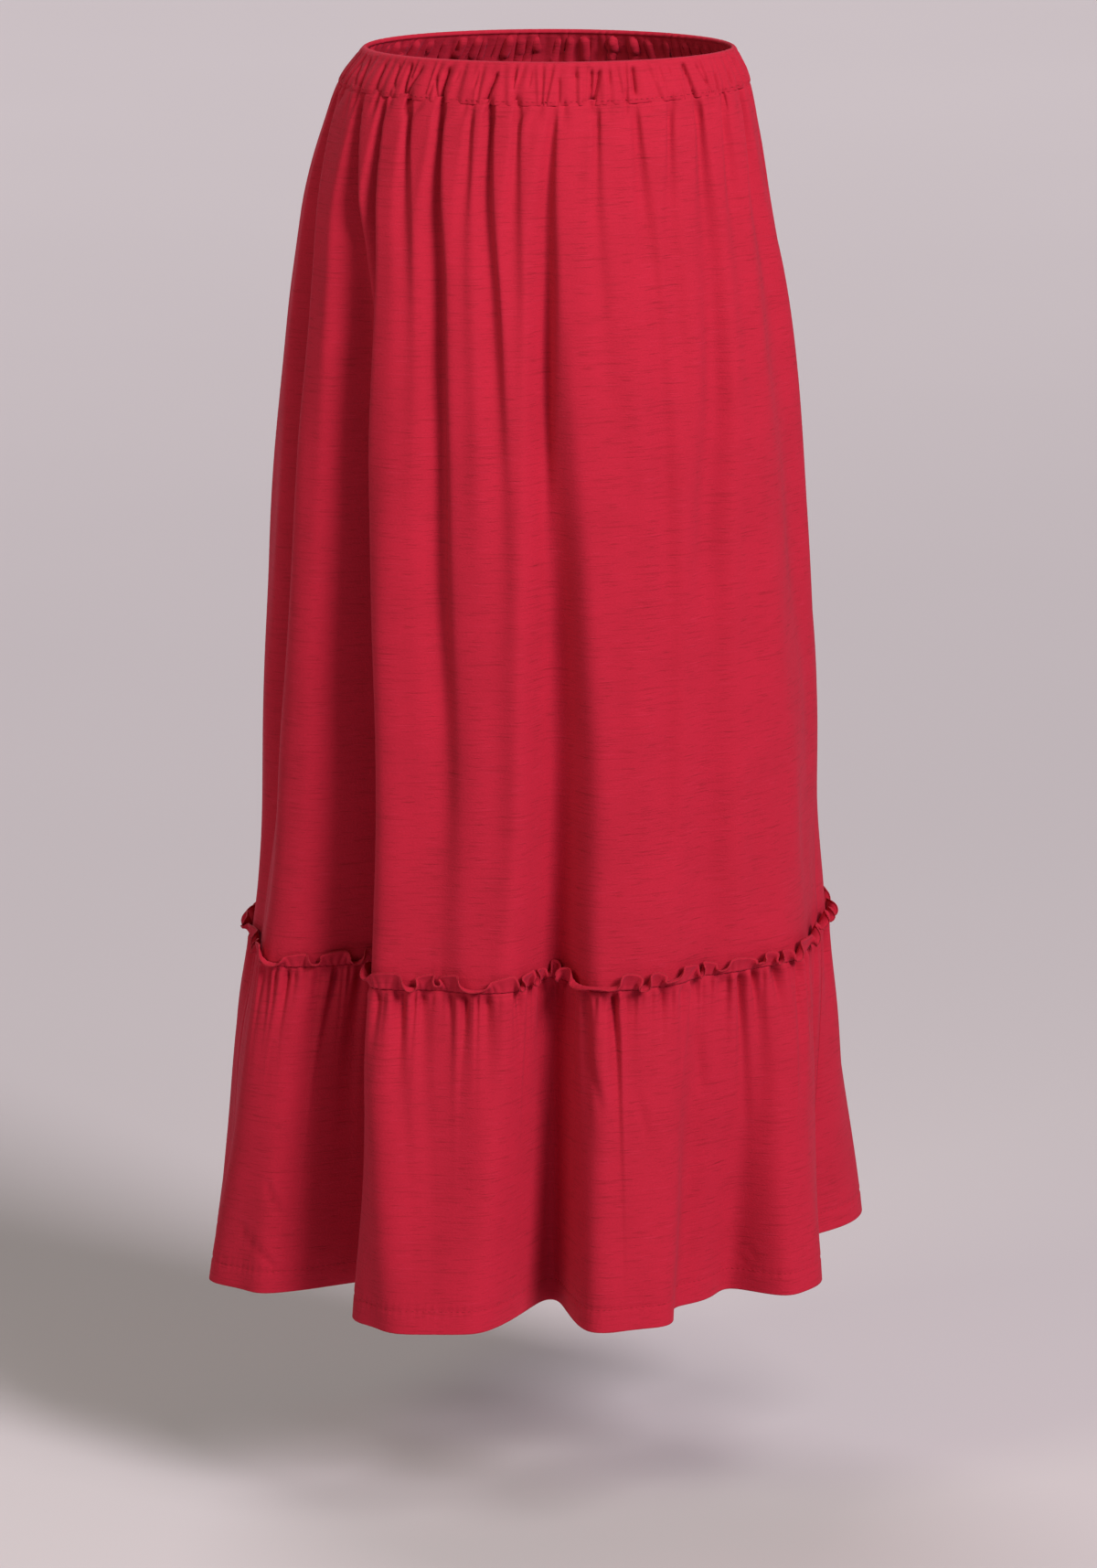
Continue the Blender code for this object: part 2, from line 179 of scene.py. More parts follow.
def smooth_through(x, knots, values):
    """Cubic curve through the knots, with the slopes of a Catmull-Rom spline."""
    slopes = slopes_at(tuple(knots), tuple(values))
    i = min(max(bisect(knots, x) - 1, 0), len(knots) - 2)
    width = knots[i + 1] - knots[i]
    t = min(max((x - knots[i]) / width, 0.0), 1.0)
    start = (2 * t ** 3 - 3 * t ** 2 + 1) * values[i] + (t ** 3 - 2 * t ** 2 + t) * width * slopes[i]
    end = (3 * t ** 2 - 2 * t ** 3) * values[i + 1] + (t ** 3 - t ** 2) * width * slopes[i + 1]
    return float(start + end)


def ease(x):
    """0 to 1 with soft ends."""
    x = np.clip(x, 0.0, 1.0)
    return x * x * (3 - 2 * x)


def grown(x, start):
    """From start at x = 0 to 1 at x = 1, with soft ends."""
    return start + (1 - start) * ease(x)


def bell(x, width):
    """1 at x = 0, and soft towards 0 beyond a width on either side."""
    return np.exp(-(x / width) ** 2)


def unit(rows):
    """Rows of vectors at a length of one."""
    return rows / np.linalg.norm(rows, axis=1)[:, None]


def turn_from(bearings, centre):
    """Degrees from a bearing, the short way round."""
    return (bearings - centre + FULL_TURN / 2) % FULL_TURN - FULL_TURN / 2


def wrapped(ring):
    """A closed row with its last point before it and its first one after it."""
    return np.vstack([ring[-1:], ring, ring[:1]])


def uneven(index, salt):
    """A repeatable number between -1 and 1, so that no two gathers are alike."""
    value = np.sin(12.9898 * (np.asarray(index) + 1) + 78.233 * (salt + 1)) * 43758.5453
    return 2.0 * (value - np.floor(value)) - 1.0


def form_at(drop):
    """Centre, half-width, front depth and back depth of the smooth form at a drop."""
    drops, *columns = zip(*FORM)
    return [smooth_through(drop, drops, column) for column in columns]


def fold_at(fold, drop):
    """Bearing, depth and the half-widths to either side of one fold at a drop."""
    below = drop - CASING_DROP
    share = grown(below / PINCH_EASE, PINCH_SHARE)
    opened = grown(below / OPEN_BY, NARROW_AT_CASING)
    top, left, right = fold.widths
    widths = [np.interp(drop, CASING_TO_HEM, (top, hem)) * opened * MM for hem in (left, right)]
    depth = smooth_through(drop, FOLD_DROPS, fold.depths) * share * MM
    return smooth_through(drop, FOLD_DROPS, fold.bearings), depth, widths


def run_along(points):
    """Length along a row of points, from its first point."""
    return np.concatenate([[0.0], np.cumsum(np.linalg.norm(np.diff(points, axis=0), axis=1))])


def soften(columns, width):
    """Soften the columns of a closed ring of even samples by a bell curve of a width in samples."""
    frequency = np.fft.rfftfreq(len(columns), 1.0)
    filtered = np.fft.rfft(columns, axis=0) * np.exp(-2 * (pi * frequency * width) ** 2)[:, None]
    return np.fft.irfft(filtered, len(columns), axis=0)


@lru_cache(maxsize=None)
def ring_at(drop, folded=True):
    """The outer face at a drop, from the left side seam round the front and back to it."""
    centre_x, half_width, front, back = form_at(drop)
    bearings = LEFT_SEAM + np.arange(RING_SAMPLES + 1) * FULL_TURN / RING_SAMPLES
    angle = np.radians(bearings)
    depth = np.where(np.cos(angle) > 0, front, back)
    points = np.stack([centre_x + half_width * np.sin(angle), -depth * np.cos(angle)], axis=1)
    along = np.stack([half_width * np.cos(angle), depth * np.sin(angle)], axis=1)
    speed = np.linalg.norm(along, axis=1)
    along /= speed[:, None]
    out = np.stack([along[:, 1], -along[:, 0]], axis=1)
    room = np.ones(len(angle))
    for fold in FOLDS if folded else ():
        bearing, fold_depth, widths = fold_at(fold, drop)
        turn = np.radians(turn_from(bearings, bearing)) * speed
        t = np.clip(np.where(turn < 0, turn / widths[0], turn / widths[1]), -1.0, 1.0)
        share = 0.5 + 0.5 * np.cos(pi * t)
        points = points - out * (fold_depth * share)[:, None]
        lean = np.interp(drop, LEAN_DROPS, fold.leans)
        points = points + along * (lean * fold_depth * share)[:, None]
        if fold_depth > min(widths):
            room = np.minimum(room, 1 - TROUGH_SQUEEZE * share)
    run = run_along(points)
    even = np.arange(RING_SAMPLES) / RING_SAMPLES * run[-1]
    columns = np.column_stack([np.interp(even, run, column) for column in (*points.T, room)])
    if folded:
        width = np.interp(drop, *zip(*SOFTENING)) / run[-1] * RING_SAMPLES
        columns = soften(columns, width)
    columns = np.vstack([columns, columns[:1]])
    bearings = np.interp(np.append(even, run[-1]), run, bearings)
    return Ring(bearings, columns[:, :2], columns[:, 2], run_along(columns[:, :2]))


def lift(points, drop):
    """Plan points at a drop as points in space. The lower edges rise a little to the back and right, and
    the casing's lower edge rises a little to the sides."""
    share = drop / HEM_DROP
    z = -drop + share * (RISE_TO_BACK * points[:, 1] + RISE_TO_RIGHT * points[:, 0])
    near_casing = ease(drop / CASING_DROP) * (1 - ease((drop - CASING_DROP) / SIDE_RISE_FADE))
    z += near_casing * (STITCH_LINE_RISE + SIDE_RISE * (points[:, 0] / FORM[1].half_width) ** 2)
    return np.column_stack([points, z])


def outward(points):
    """Plan normals along a row of points, pointing out of the skirt."""
    along = unit(np.gradient(points, axis=0))
    return np.stack([along[:, 1], -along[:, 0]], axis=1)


for drop in FOLD_DROPS:
    print("girth at", drop, "is", round(float(ring_at(drop).run[-1]), 3), "m")

# %% [markdown]
# Even cloth
#
# Real cloth is as wide inside a fold as outside it, so columns of the mesh are spread by length along the
# folded cloth and not by angle. Each half is split at its lasting folds, which keeps the columns lined up
# with the troughs from casing to hem. Rows are graded: close together at the seams, where gathers are
# small, and further apart on the plain cloth.

# %% Helpers for columns and rows
def span_runs(half, drop):
    """Where each span of a half starts and ends along the ring at a drop."""
    span_folds, first, last = HALVES[half]
    inner = [fold_at(FOLDS[k], drop)[0] for k in span_folds]
    inner = [bearing + FULL_TURN if bearing < first else bearing for bearing in inner]
    ring = ring_at(drop)
    return np.interp([first, *inner, last], ring.bearings, ring.run)


def span_counts(half, total):
    """Share a number of columns out among the spans of a half, by their length at the seam."""
    lengths = np.diff(span_runs(half, SEAM_DROP))
    return [int(count) for count in np.round(lengths / lengths.sum() * total)]


def cloth_row(half, counts, drop):
    """Plan points, bearings and room of one row, evenly along the cloth, a hair short of each side seam."""
    ends = span_runs(half, drop)
    spans = zip(ends, ends[1:], counts)
    places = [start + np.arange(count) / count * (end - start) for start, end, count in spans]
    places = np.append(np.concatenate(places), ends[-1])
    places[0] += 0.5 * SIDE_GAP
    places[-1] -= 0.5 * SIDE_GAP
    ring = ring_at(drop)
    points = np.column_stack([np.interp(places, ring.run, column) for column in ring.points.T])
    return points, np.interp(places, ring.run, ring.bearings), np.interp(places, ring.run, ring.room)


LAST_PITCH = 1.3


def graded(pitches):
    """Drops of the rows, from a table of drop and row pitch. The last row may be a little further off."""
    drops, steps = zip(*pitches)
    rows = [drops[0]]
    while rows[-1] + np.interp(rows[-1], drops, steps) * LAST_PITCH < drops[-1]:
        rows.append(rows[-1] + float(np.interp(rows[-1], drops, steps)))
    return rows + [drops[-1]]


PANEL_DROPS = graded(((CASING_DROP - TUCK, 0.0011), (0.040, 0.0016), (0.070, 0.0034), (0.12, 0.0068),
                      (0.60, 0.0072), (SEAM_DROP - SEAM_GAP, 0.0020)))
ABOVE_STITCHES = HEM_DROP - HEM_TURN - 0.003
TIER_DROPS = graded(((SEAM_DROP, 0.0013), (0.648, 0.0018), (0.680, 0.0040), (0.71, 0.0054), (0.83, 0.0056),
                     (ABOVE_STITCHES, 0.0016), (HEM_DROP, 0.0020)))
print(len(PANEL_DROPS), "rows in a panel,", len(TIER_DROPS), "in a tier")

# %% [markdown]
# Gathers
#
# A gathering thread pulls the cloth into narrow valleys with puffy ridges between them. No two valleys are
# the same depth or length. A kind of gather has a depth, a length that it dies away over, the unevenness
# of its spacing, and how many columns it wanders sideways in a metre. The casing, the panels and the tier
# share the same two functions.

# %% Helpers for gathers
GatherKind = namedtuple("GatherKind", "depth length unevenness lean")
Gathers = namedtuple("Gathers", "valleys depths lengths leans")
VARIETY = 0.60


def make_gathers(kind, count, columns, salt):
    """Uneven gathers of one kind along a row. The valleys are given as columns."""
    index = np.arange(count + 1)
    valleys = (index + kind.unevenness * uneven(index, salt)) / count * columns
    valleys[0], valleys[-1] = -0.5 * columns / count, columns + 0.5 * columns / count
    depths = kind.depth * (1 + VARIETY * uneven(index, salt + 1))
    lengths = kind.length * np.exp(VARIETY * uneven(index, salt + 2))
    leans = kind.lean * uneven(index, salt + 3)
    return Gathers(valleys, depths, lengths, leans)


def gather_inset(gathers, columns, below, sharp=1.7):
    """How far each column is pulled in at a distance below the gathering thread."""
    place = np.arange(columns)
    valleys = np.maximum.accumulate(gathers.valleys + gathers.leans * below)
    k = np.clip(np.searchsorted(valleys, place, side="right") - 1, 0, len(valleys) - 2)
    width = np.maximum(valleys[k + 1] - valleys[k], 1.0)
    t = np.clip((place - valleys[k]) / width, 0.0, 1.0)
    nearest = np.where(t < 0.5, k, k + 1)
    shape = (0.5 + 0.5 * np.cos(2 * pi * t)) ** sharp
    return gathers.depths[nearest] * shape * np.exp(-below / gathers.lengths[nearest])


print("gathers vary by up to", VARIETY, "of their depth")

# %% [markdown]
# From rows to cloth
#
# A grid from bmesh has the rows and columns that a length of cloth needs, and each vertex is then moved to
# its place. Solidify gives the wall its thickness. The UV map holds real metres along and down the cloth,
# so a pattern of threads follows every fold without stretching.

# %% Helpers that make a piece
pieces = {}
WELD = 0.000001


def place_object(name, data):
    """An object at the origin with a mesh, a light or a camera in it."""
    placed = bpy.data.objects.new(name, data)
    bpy.context.scene.collection.objects.link(placed)
    return placed


def make_piece(name, shape):
    """One piece of the skirt from a bmesh, with smooth shading."""
    mesh = bpy.data.meshes.new(name)
    shape.to_mesh(mesh)
    shape.free()
    mesh.shade_smooth()
    pieces[name] = place_object(name, mesh)
    return pieces[name]


def grid_of(shape, rows, columns):
    """The vertices of a new grid, row by row from the top."""
    grid = bmesh.ops.create_grid(shape, x_segments=columns - 1, y_segments=rows - 1, size=1.0)["verts"]
    return sorted(grid, key=lambda vertex: (round(-vertex.co.y, 6), round(vertex.co.x, 6)))


def make_cloth(name, rows, thickness, closed=False, side=-1.0, body_thickness=None, hem_from=None):
    """A shell of cloth through rows of points, from the top row down."""
    grid_points = np.asarray(rows)
    if closed:
        grid_points = np.concatenate([grid_points, grid_points[:, :1]], axis=1)
    row_count, column_count = grid_points.shape[:2]
    across = np.linalg.norm(np.diff(grid_points, axis=1), axis=2)
    u = np.concatenate([np.zeros((row_count, 1)), np.cumsum(across, axis=1)], axis=1)
    u -= u[:, column_count // 2][:, None]
    down = np.linalg.norm(np.diff(grid_points, axis=0), axis=2).mean(axis=1)
    v = -np.concatenate([[0.0], np.cumsum(down)])
    cloth = bmesh.new()
    uv_layer = cloth.loops.layers.uv.new("cloth")
    weights = cloth.verts.layers.deform.verify()
    for k, vertex in enumerate(grid_of(cloth, row_count, column_count)):
        vertex.index = k
        vertex.co = grid_points[k // column_count, k % column_count]
        if hem_from is not None:
            vertex[weights][0] = float(ease((k // column_count - hem_from) / 2.0))
    for face in cloth.faces:
        for loop in face.loops:
            row, column = divmod(loop.vert.index, column_count)
            loop[uv_layer].uv = (u[row, column], v[row])
    if closed:
        bmesh.ops.remove_doubles(cloth, verts=cloth.verts, dist=WELD)
    cloth.normal_update()
    facing_out = sum(face.calc_center_median().to_2d().dot(face.normal.to_2d()) for face in cloth.faces)
    if facing_out < 0:
        bmesh.ops.reverse_faces(cloth, faces=cloth.faces)
    piece = make_piece(name, cloth)
    wall = piece.modifiers.new("wall", "SOLIDIFY")
    wall.thickness = thickness
    wall.offset = side
    wall.use_even_offset = False
    if body_thickness:
        piece.vertex_groups.new(name="hem")
        wall.vertex_group = "hem"
        wall.thickness_vertex_group = body_thickness / thickness
    widest = round(float(across.sum(axis=1).max()), 3)
    print(name, row_count, "rows", column_count, "columns", widest, "m wide")


print("points closer than", WELD, "m are welded where a row closes")

# %% [markdown]
# Pinches under the casing
#
# Where the stitch line crosses a gather, the casing and the panel are both drawn in, which leaves a row of
# small dark dimples. Those in front are listed one by one, each with its bearing and its depth in
# millimetres, and those at the back come from a loop. Most folds of the panel start at such a pinch.

# %% Pinches
Pinch = namedtuple("Pinch", "bearing depth")
PINCHES = [Pinch(*row) for row in (
    (-84, 1.5), (-74, 2.0), (-63.5, 2.8), (-53, 3.2), (-47, 1.3), (-40.5, 4.2), (-29.4, 4.2),
    (-22, 1.0), (-15, 4.0), (-7.2, 2.2), (-1, 1.2), (5.5, 2.2), (13.3, 3.6), (18, 0.9),
    (23.2, 2.4), (30, 0.8), (38, 1.5), (46.5, 3.4), (53, 1.1), (60, 2.8), (70, 1.5),
    (80, 2.0), (88, 1.5),
)]
BACK_PINCH_COUNT = 21
BACK_PINCH_START = 95.0
BACK_PINCH_PITCH = 8.1
for k in range(BACK_PINCH_COUNT):
    bearing = BACK_PINCH_START + (k + 0.28 * uneven(k, 61)) * BACK_PINCH_PITCH
    PINCHES.append(Pinch(bearing, 1.6 + 0.9 * uneven(k, 62)))
PINCH_WIDTH = 0.0017
PINCH_ABOVE = 0.0042
PINCH_BELOW = 0.0120
PINCH_OPENS_BY = 0.009


def pinch_inset(bearings, drop, girth):
    """How far the stitch line's pinches draw each column in at a drop."""
    below = drop - CASING_DROP
    reach = PINCH_BELOW if below > 0 else PINCH_ABOVE
    width = PINCH_WIDTH * (1 + max(below, 0.0) / PINCH_OPENS_BY)
    inset = np.zeros(len(bearings))
    for pinch in PINCHES:
        across = turn_from(bearings, pinch.bearing) / FULL_TURN * girth
        inset += pinch.depth * MM * bell(across, width)
    return inset * bell(below, reach)


print(len(PINCHES), "pinches")

# %% [markdown]
# The long panels
#
# On the real skirt each panel hangs from the casing's stitch line. Small gathers start there and die away
# within a few centimetres, while the main folds run on. Smaller puckers sit right above the tier's seam.
# The cloth between folds is never quite smooth, so a slow ripple of about a millimetre is added, and the
# side seams sink a little where they are stitched. The panel's top edge is tucked behind the casing.

# %% Panels
PANEL_GATHERS = {"front": 38, "back": 34}
TOP_GATHER = GatherKind(0.0011, 0.016, 0.30, 0.0)
SEAM_PUCKER = GatherKind(0.0007, 0.007, 0.30, 0.0)
PANEL_SALTS = {"front": 11, "back": 31}
PANEL_COLUMNS = {"front": 430, "back": 390}
TOP_GATHER_START = 0.35
TOP_GATHER_GROWS = 0.006
SEAM_PUCKER_GROWS = 0.004
RIPPLE = 0.0009
RIPPLE_GROWS = 0.05
RIPPLE_ENDS = 0.04
SEAM_SINK = 0.0006
SEAM_SINK_WIDTH = 0.004
TUCK_ABOVE = 0.0006
TUCK_EASE = 0.0022


def slow_ripple(points, drop, salt):
    """A soft unevenness of the hanging cloth, long in the drop and shorter round the skirt."""
    bearing = np.arctan2(points[:, 0], -points[:, 1])
    wave = np.sin(17 * bearing + 9 * drop + salt) * np.sin(23 * drop + 3 * bearing + 2 * salt)
    wave += 0.6 * np.sin(29 * bearing - 13 * drop + 1.7 * salt) * np.sin(14 * drop - 5 * bearing)
    return RIPPLE * wave


def seam_sink(points):
    """The cloth dips where a side seam joins the two halves."""
    run = run_along(points)
    from_edge = np.minimum(run, run[-1] - run)
    return SEAM_SINK * bell(from_edge, SEAM_SINK_WIDTH)


def panel_rows(half):
    """Rows of points of one long panel."""
    counts = span_counts(half, PANEL_COLUMNS[half])
    columns = sum(counts) + 1
    gathers = make_gathers(TOP_GATHER, PANEL_GATHERS[half], columns, PANEL_SALTS[half])
    puckers = make_gathers(SEAM_PUCKER, 2 * PANEL_GATHERS[half], columns, PANEL_SALTS[half] + 4)
    rows = []
    for drop in PANEL_DROPS:
        below = drop - CASING_DROP
        above_seam = SEAM_DROP - drop
        points, bearings, room = cloth_row(half, counts, drop)
        inset = gather_inset(gathers, columns, below) * grown(below / TOP_GATHER_GROWS, TOP_GATHER_START)
        inset += gather_inset(puckers, columns, above_seam) * ease(above_seam / SEAM_PUCKER_GROWS)
        inset += slow_ripple(points, drop, 1.0) * ease(below / RIPPLE_GROWS) * ease(above_seam / RIPPLE_ENDS)
        inset = inset * room + pinch_inset(bearings, drop, ring_at(drop).run[-1]) + seam_sink(points)
        inset += TUCK_IN * (1 - ease((below + TUCK_ABOVE) / TUCK_EASE))
        rows.append(lift(points - outward(points) * inset[:, None], drop))
    return rows


panels = {half: panel_rows(half) for half in HALVES}
make_cloth("front_panel_cloth", panels["front"], JERSEY)
make_cloth("back_panel_cloth", panels["back"], JERSEY)

# %% [markdown]
# The gathered tier
#
# The tier is cut about a third wider than the panels' lower edge, and a gathering thread draws it in.
# Right under the seam there are many short gathers, and fewer long ones that run on for a hand's width.
# They wander sideways as they go down. The hem is turned up and stitched, so the last strip is thicker,
# with a fine groove along its stitches. A few slanting creases in front are listed one by one.

# %% Tiers
LONG_GATHERS = {"front": 40, "back": 36}
LONG_GATHER = GatherKind(0.0078, 0.032, 0.38, 130.0)
SHORT_GATHERS = {"front": 104, "back": 92}
SHORT_GATHER = GatherKind(0.0040, 0.0110, 0.30, 0.0)
TIER_SALTS = {"front": 51, "back": 71}
TIER_COLUMNS = {"front": 690, "back": 620}
TIER_GATHER_START = 0.15
TIER_GATHER_GROWS = 0.007
BLUNT = 0.9
SHARPER = 1.3
SHARP_LENGTH = 0.030
TIER_PUFF = 0.0024
TIER_PUFF_GROWS = 0.006
TIER_PUFF_LENGTH = 0.06
SEAM_STEP = 0.0010
SEAM_STEP_WIDTH = 0.005
STITCH_RISE = 0.0155
STITCH_GROOVE = 0.0006
STITCH_GROOVE_WIDTH = 0.0011
PUCKER = 0.00016
PUCKERS = 150
PUCKER_GROUP = 9
PUCKER_REACH = 0.006
Wrinkle = namedtuple("Wrinkle", "x drop end_x end_drop depth width")
WRINKLES = [Wrinkle(*row) for row in (
    (-0.202, 0.788, -0.187, 0.812, 2.0, 2.0), (-0.224, 0.820, -0.190, 0.852, 1.7, 2.0),
    (0.124, 0.822, 0.138, 0.838, 1.3, 2.2), (0.132, 0.826, 0.150, 0.846, 1.2, 2.0),
    (0.126, 0.836, 0.143, 0.850, 1.0, 2.0), (0.060, 0.700, 0.070, 0.742, 1.0, 3.0),
    (0.024, 0.668, 0.040, 0.725, 1.4, 3.0), (0.100, 0.660, 0.108, 0.720, 1.2, 3.4),
)]
WRINKLE_FADE = 0.3


def wrinkle_inset(points, drop):
    """Small slanting creases of the front tier, each with its depth and width in millimetres."""
    inset = np.zeros(len(points))
    for wrinkle in WRINKLES:
        start = np.array([wrinkle.x, wrinkle.drop])
        line = np.array([wrinkle.end_x, wrinkle.end_drop]) - start
        length = np.linalg.norm(line)
        from_start = np.column_stack([points[:, 0], np.full(len(points), drop)]) - start
        along = from_start @ line / length
        across = (from_start[:, 0] * line[1] - from_start[:, 1] * line[0]) / length
        fade = ease(along / length / WRINKLE_FADE) * ease((1 - along / length) / WRINKLE_FADE)
        crease = bell(across, wrinkle.width * MM)
        ridge = 0.5 * bell(across - 2.2 * wrinkle.width * MM, 1.6 * wrinkle.width * MM)
        inset += wrinkle.depth * MM * fade * (crease - ridge)
    return inset


def tier_rows(half):
    """Rows of points of one half of the tier, from the seam to the hem."""
    counts = span_counts(half, TIER_COLUMNS[half])
    columns = sum(counts) + 1
    long_gathers = make_gathers(LONG_GATHER, LONG_GATHERS[half], columns, TIER_SALTS[half])
    short_gathers = make_gathers(SHORT_GATHER, SHORT_GATHERS[half], columns, TIER_SALTS[half] + 4)
    drift = 2 * uneven(np.arange(columns) // PUCKER_GROUP, 9)
    puckers = np.sin(2 * pi * PUCKERS * np.arange(columns) / columns + drift)
    rows = []
    for drop in TIER_DROPS:
        below = drop - SEAM_DROP
        points, _, room = cloth_row(half, counts, drop)
        start = grown(below / TIER_GATHER_GROWS, TIER_GATHER_START)
        sharp = BLUNT + SHARPER * np.exp(-below / SHARP_LENGTH)
        inset = gather_inset(long_gathers, columns, below, sharp) * start
        inset += gather_inset(short_gathers, columns, below) * start
        inset -= TIER_PUFF * ease(below / TIER_PUFF_GROWS) * np.exp(-below / TIER_PUFF_LENGTH)
        inset -= SEAM_STEP * bell(below, SEAM_STEP_WIDTH)
        inset += slow_ripple(points, drop, 4.0) * ease(below / RIPPLE_GROWS)
        above_stitches = HEM_DROP - drop - STITCH_RISE
        inset += STITCH_GROOVE * bell(above_stitches, STITCH_GROOVE_WIDTH)
        inset += PUCKER * puckers * bell(above_stitches, PUCKER_REACH)
        if half == "front":
            inset += wrinkle_inset(points, drop)
        points = points - outward(points) * (inset * room + seam_sink(points))[:, None]
        rows.append(lift(points, drop))
    return rows


tiers = {half: tier_rows(half) for half in HALVES}
HEM_ROW = next(k for k, drop in enumerate(TIER_DROPS) if drop > HEM_DROP - STITCH_RISE - MM)
for half in HALVES:
    make_cloth("tier_" + half + "_cloth", tiers[half], HEM_JERSEY, body_thickness=JERSEY, hem_from=HEM_ROW)

# %% [markdown]
# The elastic casing
#
# The casing is the panels' cloth folded over a flat elastic and stitched down. The elastic draws it into
# fine gathers with sharper creases among them. The creases at the front are listed one by one: each has the
# bearings of its top and its foot, its depth in millimetres, and where it starts and ends as a share of
# the casing's height. Many lean towards a pinch in the stitch line, which makes the small V shapes. The
# creases at the back come from a loop.

# %% Casing
Crease = namedtuple("Crease", "top foot depth start end")
CREASES = [Crease(*row) for row in (
    (-84, -80, 1.2, 0.10, 0.85), (-76, -66, 1.4, 0.10, 0.90), (-69, -64, 1.9, 0.12, 0.95),
    (-59, -54, 1.5, 0.15, 1.00), (-52, -46, 1.1, 0.12, 0.80), (-46, -43, 2.4, 0.10, 1.00),
    (-40, -42.5, 1.7, 0.15, 0.95), (-36, -31, 1.3, 0.30, 0.98), (-31.5, -30, 2.4, 0.12, 1.00),
    (-27, -27.5, 0.7, 0.15, 0.50), (-21, -20.5, 0.9, 0.15, 0.60), (-14.5, -16.5, 2.4, 0.18, 1.00),
    (-10, -9, 0.7, 0.10, 0.45), (-5, -5, 0.8, 0.12, 0.55), (-8, -8, 1.0, 0.70, 1.00),
    (3, 4, 1.1, 0.30, 1.00), (8, 9, 1.2, 0.12, 0.40), (13, 13, 2.3, 0.12, 1.00),
    (16, 13.5, 2.2, 0.14, 0.98), (18.5, 18, 0.8, 0.14, 0.50), (26, 26, 2.1, 0.10, 0.80),
    (24, 22.5, 0.8, 0.60, 1.00), (34, 33, 0.7, 0.12, 0.50), (38, 40, 0.8, 0.10, 0.40),
    (44.5, 46.5, 2.3, 0.10, 1.00), (49, 54, 1.6, 0.12, 0.75), (58, 57, 1.3, 0.40, 1.00),
    (66, 66, 1.0, 0.40, 0.85), (74, 76, 1.2, 0.15, 0.90), (83, 88, 1.2, 0.20, 0.80),
)]
BACK_CREASE_COUNT = 34
BACK_CREASE_START = 92.0
BACK_CREASE_SPAN = 176.0
for k in range(BACK_CREASE_COUNT):
    bearing = BACK_CREASE_START + (k + 0.5 + 0.3 * uneven(k, 91)) * BACK_CREASE_SPAN / BACK_CREASE_COUNT
    top = bearing + 2.5 * uneven(k, 93)
    depth = 1.4 + 0.9 * uneven(k, 92)
    CREASES.append(Crease(top, bearing, depth, 0.13, 0.75 + 0.25 * uneven(k, 94)))
CREASE_HALF_WIDTH = 0.0009
CREASE_STRENGTH = 1.65
CREASE_START_FADE = 0.18
CREASE_END_FADE = 0.12
HOLLOW_HALF_WIDTH = 0.0036
HOLLOW_SHARE = 0.35
CASING_COLUMNS = 960
CASING_DROPS = graded(((0.0, 0.0008), (0.004, 0.0013), (0.026, 0.0013), (CASING_DROP, 0.0009)))
CASING_GATHERS = 102
CASING_GATHER = GatherKind(0.0013, 1.0, 0.34, 300.0)
CASING_SALT = 83
CASING_SHARP = 1.2
CASING_GATHER_START = 0.30
CASING_GATHER_SHARE = 0.3
CASING_BULGE = 0.0012
TOP_ROLL = 0.0014
TOP_ROLL_DEPTH = 0.0030
TOP_LINE_DROP = 0.0046
TOP_LINE_DEPTH = 0.0005
TOP_LINE_WIDTH = 0.0007
FOOT_ROLL = 0.0004
FOOT_START = 0.93
FOOT_SHARE = 0.07


def crease_inset(bearings, drop, girth):
    """How far the casing's creases pull each column in at a drop."""
    share = drop / CASING_DROP
    inset = np.zeros(len(bearings))
    for crease in CREASES:
        centre = crease.top + (crease.foot - crease.top) * share
        run = ease((share - crease.start) / CREASE_START_FADE)
        run *= ease((crease.end - share) / CREASE_END_FADE + 0.5)
        across = turn_from(bearings, centre) / FULL_TURN * girth
        width = CREASE_HALF_WIDTH * (0.8 + 0.35 * crease.depth / 2)
        shape = bell(across, width) + HOLLOW_SHARE * bell(across, HOLLOW_HALF_WIDTH)
        inset += CREASE_STRENGTH * crease.depth * MM * run * shape
    return inset


def casing_rows():
    """Rows of the casing's outer face, from the rolled top edge to the stitch line."""
    gathers = make_gathers(CASING_GATHER, CASING_GATHERS, CASING_COLUMNS, CASING_SALT)
    rows = []
    for drop in CASING_DROPS:
        share = drop / CASING_DROP
        ring = ring_at(drop, folded=False)
        girth = ring.run[-1]
        places = np.arange(CASING_COLUMNS) / CASING_COLUMNS * girth
        points = np.column_stack([np.interp(places, ring.run, column) for column in ring.points.T])
        bearings = np.interp(places, ring.run, ring.bearings)
        out = outward(wrapped(points))[1:-1]
        inset = crease_inset(bearings, drop, girth) + pinch_inset(bearings, drop, girth)
        gathered = grown(share / CASING_GATHER_SHARE, CASING_GATHER_START)
        inset += gather_inset(gathers, CASING_COLUMNS, drop, CASING_SHARP) * gathered
        inset -= CASING_BULGE * np.sin(pi * np.clip(share, 0, 1)) ** 0.7
        roll = np.clip(1 - drop / TOP_ROLL_DEPTH, 0.0, 1.0)
        inset += TOP_ROLL * (1 - np.sqrt(1 - roll ** 2))
        inset += TOP_LINE_DEPTH * bell(drop - TOP_LINE_DROP, TOP_LINE_WIDTH)
        inset += FOOT_ROLL * ease((share - FOOT_START) / FOOT_SHARE)
        rows.append(lift(points - out * inset[:, None], drop))
    return rows


casing = casing_rows()
make_cloth("casing_cloth", casing, CASING_WALL, closed=True)

